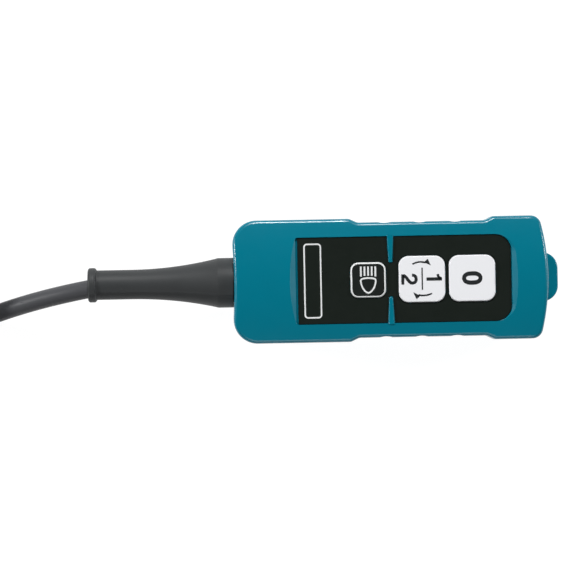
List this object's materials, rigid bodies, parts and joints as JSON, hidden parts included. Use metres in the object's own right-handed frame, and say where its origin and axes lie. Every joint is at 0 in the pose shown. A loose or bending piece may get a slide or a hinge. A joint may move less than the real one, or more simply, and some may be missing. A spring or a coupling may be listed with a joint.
{
  "type": "pendant control station",
  "caption": "Hand-held corded control pendant with a teal case, black keypad panel, light, speed and off keys, a rubber boot and a sprung belt clip.",
  "frame": {"origin": "middle of the underside of the box round the case and its belt clip, on the surface it lies on", "axes": "+X along the case towards the clip's thumb tab, the cable leaves at -X; +Z out of the keys"},
  "size_m": [0.2979, 0.077, 0.0326],
  "materials": {
    "case_teal": "satin",
    "silicone_black": "matte",
    "screw_steel": "zinc plated",
    "label_black": "satin film",
    "silicone_grey": "matte",
    "board_green": "lacquered",
    "chip_black": "matte",
    "connector_ivory": "satin",
    "wire_black": "satin",
    "wire_white": "satin",
    "wire_red": "satin",
    "wire_blue": "satin",
    "boot_rubber": "matte",
    "cable_jacket": "satin",
    "spring_steel": "bright",
    "tie_fabric": "woven",
    "plug_nickel": "nickel plated",
    "contact_gold": "gold plated",
    "key_black": "satin",
    "key_white": "satin",
    "switch_plunger": "satin"
  },
  "bodies": {
    "handset": {"front_shell": "case_teal", "rear_shell": "case_teal", "shell_gasket": "silicone_black", "case_screws": "screw_steel", "face_label": "label_black", "key_mat": "silicone_grey", "main_board": "board_green", "board_screws": "screw_steel", "control_chip": "chip_black", "board_components": "chip_black", "board_header": "connector_ivory", "wire_plug": "connector_ivory", "core_wire_black": "wire_black", "core_wire_white": "wire_white", "core_wire_red": "wire_red", "core_wire_blue": "wire_blue", "cable_boot": "boot_rubber", "cable_entry": "cable_jacket", "cable_clamp": "chip_black", "clamp_screws": "screw_steel", "clip_pin": "spring_steel", "clip_spring": "spring_steel", "cable_run": "cable_jacket", "cable_coil": "cable_jacket", "coil_tie": "tie_fabric", "cable_tail": "cable_jacket", "plug_overmould": "boot_rubber", "plug_shroud": "plug_nickel", "plug_insert": "chip_black", "plug_pins": "contact_gold", "light_switch_body": "chip_black", "light_key_seal": "silicone_grey", "speed_switch_body": "chip_black", "speed_key_seal": "silicone_grey", "off_switch_body": "chip_black", "off_key_seal": "silicone_grey"},
    "light_key": {"light_key_cap": "key_black", "light_switch_plunger": "switch_plunger"},
    "speed_key": {"speed_key_cap": "key_white", "speed_switch_plunger": "switch_plunger"},
    "off_key": {"off_key_cap": "key_white", "off_switch_plunger": "switch_plunger"},
    "belt_clip": {"belt_clip": "case_teal"}
  },
  "joints": [
    {"name": "light_key_press", "type": "slide", "parent": "handset", "child": "light_key", "axis": [0, 0, -1], "range_m": [0, 0.0006], "stiffness_N_per_m": 4000, "deforming": ["light_key_seal"]},
    {"name": "speed_key_press", "type": "slide", "parent": "handset", "child": "speed_key", "axis": [0, 0, -1], "range_m": [0, 0.0006], "stiffness_N_per_m": 4000, "deforming": ["speed_key_seal"]},
    {"name": "off_key_press", "type": "slide", "parent": "handset", "child": "off_key", "axis": [0, 0, -1], "range_m": [0, 0.0006], "stiffness_N_per_m": 4000, "deforming": ["off_key_seal"]},
    {"name": "belt_clip_pivot", "type": "hinge", "parent": "handset", "child": "belt_clip", "pos_m": [0.0371, 0, 0.0047], "axis": [0, -1, 0], "range_deg": [0, 14], "stiffness_Nm_per_rad": 0.4, "springref_deg": -14.32, "deforming": ["clip_spring"]}
  ]
}
